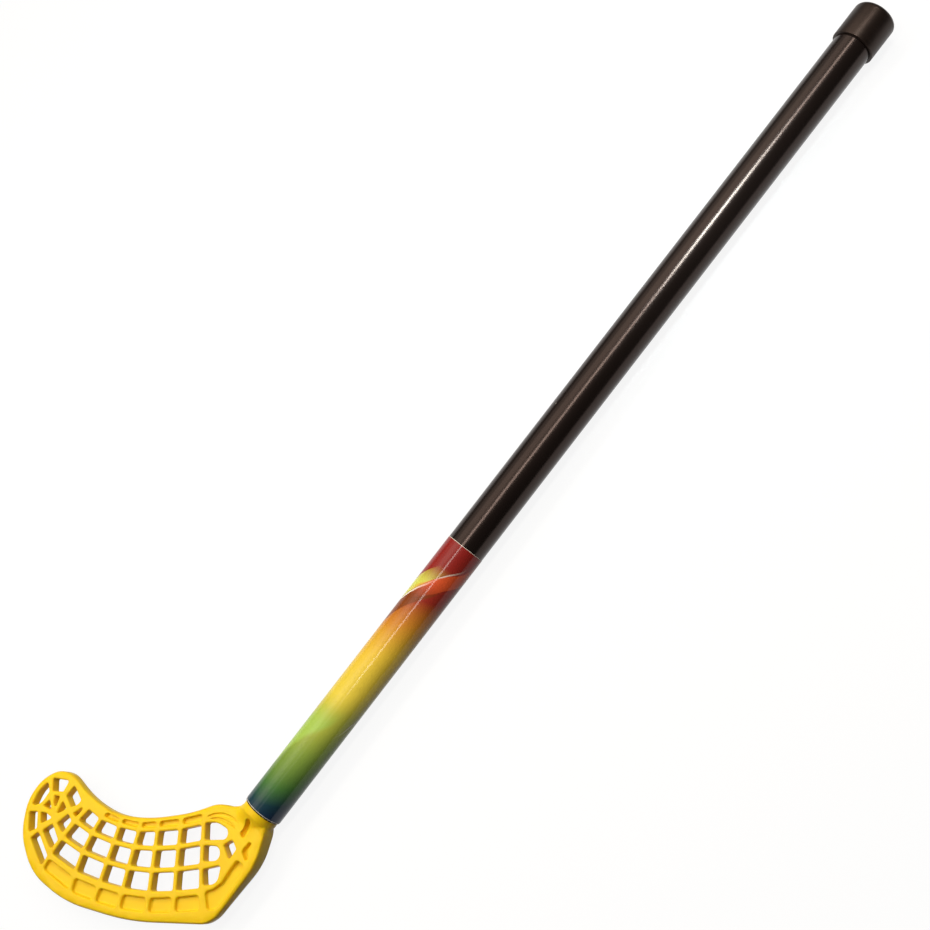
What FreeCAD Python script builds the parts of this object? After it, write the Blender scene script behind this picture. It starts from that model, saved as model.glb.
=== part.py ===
import FreeCAD, Part
import Sketcher
import math
import os

# A junior floorball stick: a plastic tube with a push-on end cap, a printed film round its lower
# third, and a lattice blade whose spigot is pushed into the tube and held by one screw.
# The stick lies flat: +X runs along the shaft from blade to cap, +Y points to the blade's toe and
# +Z is up, square to the blade. While it is drawn, the tube's lower end is at X = 0 on the shaft axis.

Vector = FreeCAD.Vector
Rotation = FreeCAD.Rotation
Placement = FreeCAD.Placement

UP = Vector(0, 0, 1)
SKETCH_UP = Vector(0, 1, 0)

# Driving dimensions: alias, value in millimetres (degrees for angles), what it is
SIZES = [
    ("tube_diameter", 32.0, "outer diameter of the shaft tube"),
    ("tube_wall", 2.0, "wall of the shaft tube"),
    ("tube_length", 790.0, "length of the shaft tube"),
    ("cap_clearance", 0.1, "radial gap between tube and end cap"),
    ("cap_wall", 2.0, "wall of the cap's skirt"),
    ("cap_end_wall", 3.0, "thickness of the cap's closed end"),
    ("cap_skirt", 30.0, "length of tube that the cap covers"),
    ("cap_round", 4.0, "rounding of the cap's closed end"),
    ("cap_rim_chamfer", 0.6, "broken edge of the cap's open rim"),
    ("film_thickness", 0.2, "printed film"),
    ("film_clearance", 0.02, "glue between film and tube"),
    ("film_length", 253.0, "length of the printed film"),
    ("film_inset", 1.0, "bare tube between its lower end and the film"),
    ("spigot_clearance", 0.1, "radial gap between spigot and tube"),
    ("spigot_length", 60.0, "how far the spigot reaches into the tube"),
    ("spigot_wall", 4.0, "wall of the cored spigot"),
    ("spigot_core_depth", 52.0, "depth of the spigot's core"),
    ("spigot_lead", 1.5, "lead-in chamfer of the spigot"),
    ("collar_step", 1.0, "how much smaller in radius the collar is than the tube"),
    ("collar_length", 5.0, "round collar below the tube's end"),
    ("neck_mid_station", 11.0, "middle section of the neck, below the tube's end"),
    ("neck_mid_half_width", 16.0, "half width of the neck there"),
    ("neck_mid_half_depth", 9.2, "half depth of the neck there"),
    ("neck_end_station", 36.0, "where the neck has sunk into the heel"),
    ("neck_end_half_width", 14.0, "half width of the neck there"),
    ("neck_end_half_depth", 3.6, "half depth of the neck there"),
    ("neck_offset", 1.5, "how far the neck leans to the toe at its middle section"),
    ("lie_angle", 54.0, "angle between the shaft and the sole"),
    ("blade_reach", 219.0, "from the shaft's lower end to the toe, along the sole"),
    ("sole_drop", 87.5, "from the shaft's lower end down to the sole"),
    ("blade_thickness", 9.2, "thickness of the lattice"),
    ("heel_thickness", 16.4, "thickness of the heel beside the collar"),
    ("heel_rise_length", 29.0, "over this length the lattice thickens into the heel"),
    ("heel_rise_start", 22.0, "where the thickening starts, from the shaft's lower end"),
    ("heel_rise_blend", 2.0, "half length of the curve where it starts"),
    ("web_thickness", 2.5, "web left between the recesses of the two faces"),
    ("fan_depth", 1.6, "depth of the two fan grooves beside the neck"),
    ("rib_width", 3.6, "upright ribs of the lattice"),
    ("rail_width", 3.8, "long rails of the lattice"),
    ("hole_round", 1.7, "corner radius of the lattice holes"),
    ("end_hole_round", 5.6, "large corner radius of the rounded holes at the lattice's heel end"),
    ("quarter_hole_round", 10.0, "large corner radius of the lowest one of them"),
    ("web_hole_round", 1.5, "corner radius of the holes in the toe web"),
    ("petal_round", 0.9, "corner radius of the small holes between the spokes of that web"),
    ("rim_chamfer", 1.6, "broken outer edge of the blade"),
    ("screw_diameter", 3.5, "screw shank"),
    ("screw_length", 10.0, "screw, with its head"),
    ("screw_head_diameter", 6.6, "countersunk head"),
    ("screw_head_edge", 0.3, "straight edge of the countersunk head"),
    ("screw_tip_length", 2.5, "pointed tip"),
    ("screw_tip_diameter", 0.6, "flat at the end of the tip"),
    ("screw_sink", 0.45, "head below the tube's surface"),
    ("screw_gap", 0.05, "radial gap round the screw"),
    ("film_hole_gap", 0.4, "radial gap between the screw head and the film's hole"),
    ("overrun", 5.0, "how far cuts run past what they cut"),
]

doc = FreeCAD.newDocument("floorball_stick")
sheet = doc.addObject("Spreadsheet::Sheet", "Sheet")
for row, (alias, value, meaning) in enumerate(SIZES, start=1):
    sheet.set(f"A{row}", alias)
    sheet.set(f"B{row}", str(value))
    sheet.set(f"C{row}", meaning)
    sheet.setAlias(f"B{row}", alias)
doc.recompute()


def size(alias):
    """A driving dimension, read from the sheet."""
    return float(sheet.get(alias))


TUBE_RADIUS = size("tube_diameter") / 2
BORE_RADIUS = TUBE_RADIUS - size("tube_wall")
SPIGOT_RADIUS = BORE_RADIUS - size("spigot_clearance")
COLLAR_RADIUS = TUBE_RADIUS - size("collar_step")
CAP_RADIUS = TUBE_RADIUS + size("cap_clearance") + size("cap_wall")


# Helpers for bodies and sketches

def new_body(label):
    """An empty body whose label names the sub-part."""
    body = doc.addObject("PartDesign::Body", label)
    body.Label = label
    return body


def sketch_on(body, name, role, offset=Placement()):
    """A sketch on one of the body's own origin planes, moved by the offset in that plane's frame."""
    sketch = body.newObject("Sketcher::SketchObject", name)
    plane = next(f for f in body.Origin.OriginFeatures if f.Role == role)
    sketch.AttachmentSupport = (plane, "")
    sketch.MapMode = "FlatFace"
    sketch.AttachmentOffset = offset
    return sketch


def add_circle(sketch, diameter):
    """A circle about the sketch's origin, its diameter bound to an expression."""
    number = sketch.addGeometry(Part.Circle(Vector(), UP, size("tube_diameter")), False)
    sketch.addConstraint(Sketcher.Constraint("Coincident", number, 3, -1, 1))
    bound = sketch.addConstraint(Sketcher.Constraint("Diameter", number, size("tube_diameter")))
    sketch.setExpression(f"Constraints[{bound}]", diameter)


def add_loop(sketch, points):
    """A closed run of straight lines through the points."""
    for start, end in zip(points, points[1:] + points[:1]):
        sketch.addGeometry(Part.LineSegment(start, end), False)


def pad(body, sketch, name, length):
    """A pad whose length is bound to an expression."""
    feature = body.newObject("PartDesign::Pad", name)
    feature.Profile = sketch
    feature.setExpression("Length", length)
    return feature


def revolve(body, sketch, name, kind, axis):
    """A full revolution or groove about one of the sketch's own axes."""
    feature = body.newObject(kind, name)
    feature.Profile = sketch
    feature.ReferenceAxis = (sketch, [axis])
    feature.Angle = 360
    return feature


def through_cut(body, sketch, name):
    """A pocket through everything on both sides of the sketch."""
    feature = body.newObject("PartDesign::Pocket", name)
    feature.Profile = sketch
    feature.Type = "ThroughAll"
    feature.Midplane = True
    return feature


def chamfer(body, base, name, alias, test):
    """A chamfer on the edges of the base feature that pass the test."""
    chosen = [f"Edge{i}" for i, edge in enumerate(base.Shape.Edges, start=1) if test(edge)]
    feature = body.newObject("PartDesign::Chamfer", name)
    feature.Base = (base, chosen)
    feature.setExpression("Size", f"Sheet.{alias}")


def station(distance):
    """Offset of a cross-section sketch along the shaft, from the tube's lower end."""
    return Placement(Vector(0, 0, distance), Rotation())


# Screw places, shared by the screw and the three pieces that it passes: half way along the spigot

SCREW_AT = Placement(Vector(size("spigot_length") / 2, 0, 0), Rotation())
HEAD_TOP = TUBE_RADIUS - size("screw_sink")
HEAD_RADIUS = size("screw_head_diameter") / 2
SHANK_RADIUS = size("screw_diameter") / 2
HEAD_BASE = HEAD_TOP - size("screw_head_edge") - (HEAD_RADIUS - SHANK_RADIUS)
SCREW_END = HEAD_TOP - size("screw_length")


def screw_cut(body, name, outline):
    """A groove about the screw's axis: the outline is (radius, distance from the shaft axis) pairs."""
    sketch = sketch_on(body, f"{name}_sketch", "XZ_Plane", SCREW_AT)
    add_loop(sketch, [Vector(radius, -depth, 0) for radius, depth in outline])
    return revolve(body, sketch, name, "PartDesign::Groove", "V_Axis")


# Shaft tube: an extruded pipe with one countersunk hole at the rear of its lower end

def make_shaft_tube():
    body = new_body("shaft_tube")
    section = sketch_on(body, "tube_section", "YZ_Plane")
    add_circle(section, "Sheet.tube_diameter")
    add_circle(section, "Sheet.tube_diameter - 2 * Sheet.tube_wall")
    pad(body, section, "tube_pad", "Sheet.tube_length")
    gap = size("screw_gap")
    outside = TUBE_RADIUS + size("overrun")
    head_edge = HEAD_TOP - size("screw_head_edge")
    screw_cut(body, "screw_hole", [
        (0, outside),
        (HEAD_RADIUS + gap, outside),
        (HEAD_RADIUS + gap, head_edge),
        (SHANK_RADIUS + gap, HEAD_BASE),
        (SHANK_RADIUS + gap, BORE_RADIUS - size("tube_wall")),
        (0, BORE_RADIUS - size("tube_wall")),
    ])
    return body


# End cap: a moulded cup pushed over the tube's upper end, its closed end rounded in flats

CAP_FLATS = 3


def make_end_cap():
    body = new_body("end_cap")
    rim = size("tube_length") - size("cap_skirt")
    floor = size("tube_length")
    end = floor + size("cap_end_wall")
    bore = TUBE_RADIUS + size("cap_clearance")
    chamfer = size("cap_rim_chamfer")
    outline = [
        (end, 0),
        (floor, 0),
        (floor, bore),
        (rim, bore),
        (rim, CAP_RADIUS - chamfer),
        (rim + chamfer, CAP_RADIUS),
    ]
    for flat in range(CAP_FLATS + 1):
        turn = math.radians(90 * flat / CAP_FLATS)
        along = end - size("cap_round") * (1 - math.sin(turn))
        radius = CAP_RADIUS - size("cap_round") * (1 - math.cos(turn))
        outline.append((along, radius))
    profile = sketch_on(body, "cap_profile", "XY_Plane")
    add_loop(profile, [Vector(along, radius, 0) for along, radius in outline])
    revolve(body, profile, "cap_turned", "PartDesign::Revolution", "H_Axis")
    return body


# Printed film: a thin sleeve glued round the lower third of the tube, with a hole for the screw head

def make_decal_wrap():
    body = new_body("decal_wrap")
    section = sketch_on(body, "film_section", "YZ_Plane", station(size("film_inset")))
    add_circle(section, "Sheet.tube_diameter + 2 * (Sheet.film_clearance + Sheet.film_thickness)")
    add_circle(section, "Sheet.tube_diameter + 2 * Sheet.film_clearance")
    pad(body, section, "film_pad", "Sheet.film_length")
    hole = HEAD_RADIUS + size("film_hole_gap")
    outside = TUBE_RADIUS + size("overrun")
    screw_cut(body, "film_hole", [(0, outside), (hole, outside), (hole, BORE_RADIUS), (0, BORE_RADIUS)])
    return body


# Blade screw: a countersunk self-tapping screw, head at the rear of the shaft

def make_blade_screw():
    body = new_body("blade_screw")
    profile = sketch_on(body, "screw_profile", "XZ_Plane", SCREW_AT)
    outline = [
        (0, HEAD_TOP),
        (HEAD_RADIUS, HEAD_TOP),
        (HEAD_RADIUS, HEAD_TOP - size("screw_head_edge")),
        (SHANK_RADIUS, HEAD_BASE),
        (SHANK_RADIUS, SCREW_END + size("screw_tip_length")),
        (size("screw_tip_diameter") / 2, SCREW_END),
        (0, SCREW_END),
    ]
    add_loop(profile, [Vector(radius, -depth, 0) for radius, depth in outline])
    revolve(body, profile, "screw_turned", "PartDesign::Revolution", "V_Axis")
    return body


# Blade: one moulding. It is drawn in its own frame, in which a place is given by two shares: how far
# towards the toe, of blade_reach, and how far above the shaft's lower end, of sole_drop. The sole lies
# at -1 and the toe's foremost point at 1.

# Corners of the outline, from the neck along the top rail to the toe and back along the sole. Each is
# rounded as widely as its sides allow, so that arc runs into arc, but for the two inside the neck.
OUTLINE_SHARES = [
    (0.046, 0.053), (0.103, 0.013), (0.172, 0.037), (0.276, -0.063), (0.439, -0.137), (0.583, -0.130),
    (0.712, 0.007), (0.814, 0.215), (0.880, 0.233), (0.951, 0.133), (0.997, -0.060), (0.999, -0.361),
    (0.924, -0.688), (0.755, -0.908), (0.470, -1.012), (0.160, -0.966), (0.121, -0.905), (-0.014, -0.447),
    (-0.037, -0.170), (-0.026, -0.060),
]

# Upright ribs from the toe to the heel: the place of each at the top rail, half way down and at the sole
RIB_SHARES = [
    ((0.712, -0.075), (0.811, -0.363), (0.876, -0.642)),
    ((0.652, -0.160), (0.709, -0.472), (0.737, -0.813)),
    ((0.569, -0.214), (0.599, -0.538), (0.629, -0.874)),
    ((0.483, -0.239), (0.505, -0.571), (0.522, -0.914)),
    ((0.406, -0.222), (0.405, -0.574), (0.402, -0.921)),
    ((0.312, -0.189), (0.306, -0.546), (0.295, -0.894)),
    ((0.221, -0.131), (0.207, -0.498), (0.185, -0.854)),
]

# Rails across the ribs, as shares of a rib's length from the top rail down
RAIL_SHARES = (0.0, 0.235, 0.5, 0.78)
SOLE_RECESS_SHARES = (0.80, 1.03)
TOP_SLOT_SHARES = (-0.125, 0.005)

# Rounded holes at the heel end of the lattice: corners from upper toe side round to lower toe side
END_HOLE_SHARES = [
    ((0.213, -0.138), (0.168, -0.123), (0.117, -0.180), (0.121, -0.262), (0.206, -0.281)),
    ((0.206, -0.327), (0.142, -0.324), (0.139, -0.440), (0.200, -0.459)),
    ((0.198, -0.525), (0.130, -0.479), (0.136, -0.632), (0.187, -0.654)),
]
DIAMOND_SHARES = ((0.096, -0.262), (0.076, -0.334), (0.100, -0.428), (0.128, -0.310))

# Holes of the web that fills the toe
TOE_HOLE_SHARES = [
    ((0.800, -0.153), (0.782, -0.210), (0.812, -0.323), (0.842, -0.243)),
    ((0.862, -0.252), (0.827, -0.387), (0.852, -0.468), (0.901, -0.316)),
    ((0.914, 0.119), (0.903, 0.034), (0.930, -0.078), (0.970, -0.103), (0.950, 0.034)),
    ((0.894, 0.158), (0.821, 0.144), (0.840, 0.043), (0.886, 0.040)),
    ((0.793, 0.103), (0.754, -0.022), (0.765, -0.063), (0.793, -0.090), (0.821, 0.005)),
    ((0.976, -0.158), (0.939, -0.152), (0.930, -0.298), (0.963, -0.339)),
    ((0.949, -0.391), (0.919, -0.332), (0.862, -0.529), (0.880, -0.623)),
]

# Small holes between the spokes at the middle of that web
PETAL_SHARES = [
    ((0.874, 0.002), (0.851, -0.004), (0.862, -0.102), (0.872, -0.074)),
    ((0.833, -0.042), (0.815, -0.102), (0.822, -0.122), (0.853, -0.164)),
    ((0.893, -0.040), (0.878, -0.131), (0.917, -0.097)),
    ((0.923, -0.158), (0.903, -0.157), (0.870, -0.196), (0.915, -0.254)),
    ((0.740, -0.084), (0.745, -0.119), (0.766, -0.173), (0.778, -0.145)),
]

# Blind recesses of the heel, from the neck down to the sole
HEEL_RECESS_SHARES = [
    ((0.031, -0.072), (0.017, -0.090), (0.052, -0.243), (0.067, -0.209)),
    ((0.023, -0.270), (0.014, -0.282), (0.029, -0.339), (0.021, -0.412), (0.033, -0.419), (0.051, -0.345)),
    ((0.066, -0.422), (0.034, -0.470), (0.065, -0.617), (0.092, -0.715), (0.132, -0.834), (0.160, -0.851),
     (0.178, -0.705), (0.147, -0.678), (0.117, -0.620), (0.092, -0.513)),
]

# Two fan grooves between the top rim and the uppermost rounded hole: both ends, then the middle of the
# upper and of the lower edge
FAN_SHARES = [
    ((0.209, -0.083), (0.083, -0.110), (0.145, -0.045), (0.143, -0.080)),
    ((0.196, -0.098), (0.091, -0.162), (0.137, -0.093), (0.139, -0.117)),
]


def blade_frame(height=0.0):
    """Offset that turns a sketch on the XY plane into the blade's own frame, at a height above it."""
    return Placement(Vector(0, 0, height), Rotation(UP, -size("lie_angle")))


def blade_point(shares):
    """A place in the blade's own frame, from its two shares."""
    towards_toe, upwards = shares
    return Vector(-towards_toe * size("blade_reach"), upwards * size("sole_drop"), 0)


def lattice_point(rib, share):
    """A place on an upright rib's centre line, a smooth curve through its three given places."""
    top, middle, bottom = [blade_point(shares) for shares in RIB_SHARES[rib]]
    from_top = (1 - share) * (1 - 2 * share)
    from_middle = 4 * share * (1 - share)
    from_bottom = share * (2 * share - 1)
    return top * from_top + middle * from_middle + bottom * from_bottom


def inset_corners(corners, insets):
    """Corners of a polygon whose sides are moved inwards, each by its own amount."""
    middle = sum(corners, Vector()) * (1 / len(corners))
    lines = []
    for start, end, inset in zip(corners, corners[1:] + corners[:1], insets):
        along = (end - start).normalize()
        inwards = UP.cross(along)
        if inwards.dot(middle - start) < 0:
            inwards = -inwards
        lines.append((start + inwards * inset, along))
    moved = []
    for (point, along), (other, across) in zip(lines[-1:] + lines[:-1], lines):
        travel = (other - point).cross(across).z / along.cross(across).z
        moved.append(point + along * travel)
    return moved


def rounded_curves(corners, rounds):
    """Lines with a tangent arc at each corner, no larger than its sides have room for; 0 stays sharp."""
    turns = []
    room_share = 0.47
    for corner, before, after, wanted in zip(corners, corners[-1:] + corners, corners[1:] + corners, rounds):
        back = before - corner
        ahead = after - corner
        half = back.getAngle(ahead) / 2
        reach = min(wanted / math.tan(half), room_share * min(back.Length, ahead.Length))
        if reach == 0:
            turns.append((corner, None, corner))
            continue
        back.normalize()
        ahead.normalize()
        to_middle = reach / math.cos(half) - reach * math.tan(half)
        middle = corner + (back + ahead).normalize() * to_middle
        enter = corner + back * reach
        leave = corner + ahead * reach
        turns.append((enter, Part.Arc(enter, middle, leave), leave))
    curves = []
    for (enter, arc, leave), following in zip(turns, turns[1:] + turns[:1]):
        if arc:
            curves.append(arc)
        curves.append(Part.LineSegment(leave, following[0]))
    return curves


def rounded_loop(corners, rounds):
    """A closed loop of lines and tangent arcs."""
    return Part.Wire([curve.toShape() for curve in rounded_curves(corners, rounds)])


def soft_loop(corners, tight):
    """A rounded loop whose gentle corners are rounded as widely as their sides allow."""
    gentle = math.radians(45)
    rounds = []
    for corner, before, after in zip(corners, corners[-1:] + corners, corners[1:] + corners):
        turn = (corner - before).getAngle(after - corner)
        rounds.append(size("blade_reach") if turn < gentle else tight)
    return rounded_loop(corners, rounds)


def points_at(shares):
    """Places in the blade's own frame, from their pairs of shares."""
    return [blade_point(pair) for pair in shares]


def lattice_cells(ribs, upper, lower):
    """Corners of the cells between neighbouring ribs, from one share of their length to another."""
    cells = []
    half_rib = size("rib_width") / 2
    half_rail = size("rail_width") / 2
    insets = (half_rail, half_rib, half_rail, half_rib)
    for rib in ribs:
        corners = [
            lattice_point(rib, upper),
            lattice_point(rib + 1, upper),
            lattice_point(rib + 1, lower),
            lattice_point(rib, lower),
        ]
        cells.append(inset_corners(corners, insets))
    return cells


def face_profile(sketch, side):
    """Waste above one face, seen along the sole: flat over the lattice, rising towards the collar."""
    flat = side * size("blade_thickness") / 2
    rise = side * (size("heel_thickness") - size("blade_thickness")) / 2
    slope = rise / size("heel_rise_length")
    fold = -size("heel_rise_start")
    blend = size("heel_rise_blend")
    toe = -size("blade_reach") - size("overrun")
    heel = size("blade_reach")
    clear = side * size("heel_thickness") + slope * (heel - fold)
    start = Vector(fold - blend, flat, 0)
    end = Vector(fold + blend, flat + slope * blend, 0)
    rising = math.atan(slope)
    radius = (blend + blend / math.cos(rising)) / 2 / math.tan(abs(rising) / 2)
    sag = radius * (1 - math.cos(rising / 2))
    middle = (start + end) * 0.5 + Vector(math.sin(rising / 2), -math.cos(rising / 2), 0) * (side * sag)
    far = Vector(heel, flat + slope * (heel - fold), 0)
    run = [far, Vector(heel, clear, 0), Vector(toe, clear, 0), Vector(toe, flat, 0), start]
    sketch.addGeometry(Part.Arc(start, middle, end), False)
    sketch.addGeometry(Part.LineSegment(end, far), False)
    for here, there in zip(run, run[1:]):
        sketch.addGeometry(Part.LineSegment(here, there), False)


def blade_plate(body):
    """The blade's outline, padded to the heel's thickness and thinned to the lattice's on both faces."""
    outline = sketch_on(body, "blade_outline", "XY_Plane", blade_frame())
    corners = points_at(OUTLINE_SHARES)
    rounds = [0] + [size("blade_reach")] * (len(corners) - 2) + [0]
    for curve in rounded_curves(corners, rounds):
        outline.addGeometry(curve, False)
    plate = pad(body, outline, "blade_pad", "2 * Sheet.heel_thickness")
    plate.Midplane = True
    along_sole = Placement(Vector(), Rotation(SKETCH_UP, -size("lie_angle")))
    profile = sketch_on(body, "face_profile", "XZ_Plane", along_sole)
    for side in (1, -1):
        face_profile(profile, side)
    return through_cut(body, profile, "face_cut")


def faces_beside(shape, edge):
    """The two faces that meet at an edge."""
    return shape.ancestorsOfType(edge, Part.Face)


def normal_at(face, point):
    """A face's normal at the place nearest to a point."""
    return face.normalAt(*face.Surface.parameter(point))


def middle_of(edge):
    """The point half way along an edge's parameter range."""
    return edge.valueAt((edge.FirstParameter + edge.LastParameter) / 2)


def is_sharp_rim(shape, edge):
    """True where a face that looks up or down meets an upright wall."""
    point = middle_of(edge)
    tilts = sorted(abs(normal_at(face, point).z) for face in faces_beside(shape, edge))
    level_share = 0.98
    return len(tilts) == 2 and tilts[0] < 1 - level_share and tilts[1] > level_share


def neck_section(body, name, distance, half_width, half_depth, lean):
    """An oval section of the neck, square to the shaft, at a distance below the tube's end."""
    sketch = sketch_on(body, name, "YZ_Plane", station(-distance))
    centre = Vector(lean, 0, 0)
    oval = Part.Ellipse(centre + Vector(half_width, 0, 0), centre + Vector(0, half_depth, 0), centre)
    sketch.addGeometry(oval, False)
    return sketch


def add_neck(body):
    """The neck: an oval that flattens from the round collar into the heel."""
    top = neck_section(body, "neck_top", size("collar_length"), COLLAR_RADIUS, COLLAR_RADIUS, 0)
    middle = neck_section(body, "neck_middle", size("neck_mid_station"), size("neck_mid_half_width"),
                          size("neck_mid_half_depth"), size("neck_offset"))
    end = neck_section(body, "neck_end", size("neck_end_station"), size("neck_end_half_width"),
                       size("neck_end_half_depth"), 2 * size("neck_offset"))
    neck = body.newObject("PartDesign::AdditiveLoft", "neck")
    neck.Profile = top
    neck.Sections = [middle, end]


def add_collar_and_spigot(body):
    """The turned shape that closes the tube: collar outside, cored spigot inside."""
    reach = size("spigot_length")
    lead = size("spigot_lead")
    core = SPIGOT_RADIUS - size("spigot_wall")
    floor = reach - size("spigot_core_depth")
    profile = sketch_on(body, "spigot_profile", "XY_Plane")
    outline = [
        (-size("collar_length"), 0),
        (-size("collar_length"), COLLAR_RADIUS),
        (0, COLLAR_RADIUS),
        (0, SPIGOT_RADIUS),
        (reach - lead, SPIGOT_RADIUS),
        (reach, SPIGOT_RADIUS - lead),
        (reach, core),
        (floor, core),
        (floor, 0),
    ]
    add_loop(profile, [Vector(along, radius, 0) for along, radius in outline])
    revolve(body, profile, "collar_and_spigot", "PartDesign::Revolution", "H_Axis")


def hole_loops():
    """What goes right through the blade: lattice, heel end, diamond, and the toe web with its petals."""
    small = size("hole_round")
    large = size("end_hole_round")
    end_rounds = [
        (small, size("blade_reach"), large, large, small),
        (small, large, large, small),
        (small, small, size("quarter_hole_round"), small),
    ]
    loops = []
    for upper, lower in zip(RAIL_SHARES, RAIL_SHARES[1:]):
        for corners in lattice_cells(range(len(RIB_SHARES) - 1), upper, lower):
            loops.append(rounded_loop(corners, [small] * len(corners)))
    for shares, rounds in zip(END_HOLE_SHARES, end_rounds):
        loops.append(rounded_loop(points_at(shares), rounds))
    for shares in TOE_HOLE_SHARES + [DIAMOND_SHARES]:
        loops.append(soft_loop(points_at(shares), size("web_hole_round")))
    for shares in PETAL_SHARES:
        loops.append(soft_loop(points_at(shares), size("petal_round")))
    return loops


def recess_loops():
    """What is sunk to the web on both faces: sole row, top slots and heel pockets."""
    ribs = range(len(RIB_SHARES) - 1)
    cells = lattice_cells(ribs, *SOLE_RECESS_SHARES) + lattice_cells(ribs[1:], *TOP_SLOT_SHARES)
    cells += [points_at(shares) for shares in HEEL_RECESS_SHARES]
    return [rounded_loop(corners, [0] * len(corners)) for corners in cells]


def fan_loops():
    """Two crescent grooves beside the neck."""
    loops = []
    for shares in FAN_SHARES:
        toe_end, neck_end, above, below = points_at(shares)
        upper = Part.Arc(toe_end, above, neck_end).toShape()
        lower = Part.Arc(neck_end, below, toe_end).toShape()
        loops.append(Part.Wire([upper, lower]))
    return loops


def cutters(loops, floor):
    """Prisms on the loops, from the floor's height to clear of the blade."""
    height = size("heel_thickness") - floor
    prisms = []
    for loop in loops:
        prism = Part.Face(loop).extrude(Vector(0, 0, height))
        prism.translate(Vector(0, 0, floor))
        prisms.append(prism)
    return prisms


def lattice_cutters():
    """All openings of the blade, the blind ones on both faces, turned into place below the shaft."""
    web = size("web_thickness") / 2
    fan_floor = size("blade_thickness") / 2 - size("fan_depth")
    blind = cutters(recess_loops(), web) + cutters(fan_loops(), fan_floor)
    rear = [prism.mirror(Vector(), UP) for prism in blind]
    through = cutters(hole_loops(), -size("heel_thickness"))
    openings = Part.makeCompound(through + blind + rear)
    openings.Placement = blade_frame()
    return openings


def make_blade_blank():
    """The moulding before it is opened up: plate, heel, neck, collar and cored spigot."""
    body = new_body("blade_blank")
    plate = blade_plate(body)
    doc.recompute()
    chamfer(body, plate, "blade_rim", "rim_chamfer",
            lambda edge: is_sharp_rim(plate.Shape, edge) and middle_of(edge).x < -size("collar_length"))
    add_neck(body)
    add_collar_and_spigot(body)
    pilot = SHANK_RADIUS + size("screw_gap")
    deep = SPIGOT_RADIUS - size("spigot_wall") - size("overrun")
    screw_cut(body, "screw_pilot", [(0, TUBE_RADIUS), (pilot, TUBE_RADIUS), (pilot, deep), (0, deep)])
    doc.recompute()
    return body


def make_blade():
    """The finished blade: the blank with its many openings, cut in one go."""
    blank = make_blade_blank()
    blade = doc.addObject("Part::Feature", "blade")
    blade.Label = "blade"
    blade.Shape = blank.Shape.cut(lattice_cutters())
    return blade


SUB_PARTS = [make_shaft_tube(), make_end_cap(), make_decal_wrap(), make_blade_screw(), make_blade()]
doc.recompute()

# The finished stick lies on the floor: the middle of its bounding box's underside is the origin
whole = FreeCAD.BoundBox()
for body in SUB_PARTS:
    whole.add(body.Shape.optimalBoundingBox(False, False))
for body in SUB_PARTS:
    body.Placement = Placement(Vector(-whole.Center.x, -whole.Center.y, -whole.ZMin), Rotation())
doc.recompute()

# Checks on every feature and solid before anything is written
for item in doc.Objects:
    if "Invalid" in item.State or "Error" in item.State:
        raise RuntimeError(f"{item.Label} failed: {item.State}")
for body in SUB_PARTS:
    if body.Shape.isNull() or not body.Shape.isValid() or not body.Shape.Solids:
        raise RuntimeError(f"{body.Label} has no valid solid")

os.makedirs("parts", exist_ok=True)
for body in SUB_PARTS:
    body.Shape.exportStep(f"parts/{body.Label}.step")
    print(body.Label, len(body.Shape.Solids), round(body.Shape.Volume, 1))
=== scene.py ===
import math

import bmesh
import bpy
from mathutils import Matrix, Vector
from mathutils.bvhtree import BVHTree
from mathutils.geometry import delaunay_2d_cdt
from mathutils.kdtree import KDTree


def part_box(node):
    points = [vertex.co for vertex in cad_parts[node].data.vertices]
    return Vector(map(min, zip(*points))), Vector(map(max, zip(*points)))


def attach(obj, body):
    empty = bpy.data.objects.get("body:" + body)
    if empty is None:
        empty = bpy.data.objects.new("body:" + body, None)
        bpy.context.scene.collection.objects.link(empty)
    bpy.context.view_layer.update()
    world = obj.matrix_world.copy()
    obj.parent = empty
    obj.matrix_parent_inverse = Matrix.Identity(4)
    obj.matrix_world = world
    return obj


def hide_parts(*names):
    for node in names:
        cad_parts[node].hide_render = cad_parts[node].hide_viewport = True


# A junior floorball stick that lies flat on a pale floor: a black plastic pipe with a push-on cap, a
# printed film round its lower third and a yellow lattice blade, held by one screw from below.
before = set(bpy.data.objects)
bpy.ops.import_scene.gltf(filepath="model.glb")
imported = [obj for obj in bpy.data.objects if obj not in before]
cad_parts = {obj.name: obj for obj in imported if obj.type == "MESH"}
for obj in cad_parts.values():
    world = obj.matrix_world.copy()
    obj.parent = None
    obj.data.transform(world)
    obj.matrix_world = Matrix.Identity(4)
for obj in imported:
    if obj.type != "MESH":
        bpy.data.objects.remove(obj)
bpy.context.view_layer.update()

# Shaft tube
# A straight length of black plastic pipe, 32 mm across with 2 mm walls. It was extruded, so faint die
# lines run along it, and sawn to length. One countersunk hole near its lower end takes the blade screw.
MM = 0.001
TUBE_WALL = 2.0 * MM
SAWN_EDGE = 0.25 * MM
SHAFT_SIDES = 128
SHARP_DEGREES = 30

# the tapered bit: its radius at its two ends, and how far it runs past the bore and past the surface
BIT_RADIUS_DEEP = 1.8 * MM
BIT_RADIUS_OUT = 3.75 * MM
BIT_PAST_BORE = 0.2 * MM
BIT_PAST_SURFACE = 0.4 * MM
BIT_SIDES = 48

X, Z = Vector((1, 0, 0)), Vector((0, 0, 1))
tube_low, tube_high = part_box("shaft_tube")
axis = (tube_low + tube_high) / 2
shaft_line = Vector((0, axis.y, axis.z))
tube_radius = (tube_high.z - tube_low.z) / 2
bore_radius = tube_radius - TUBE_WALL
screw_low, screw_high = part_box("blade_screw")
screw_x = (screw_low.x + screw_high.x) / 2


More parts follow.
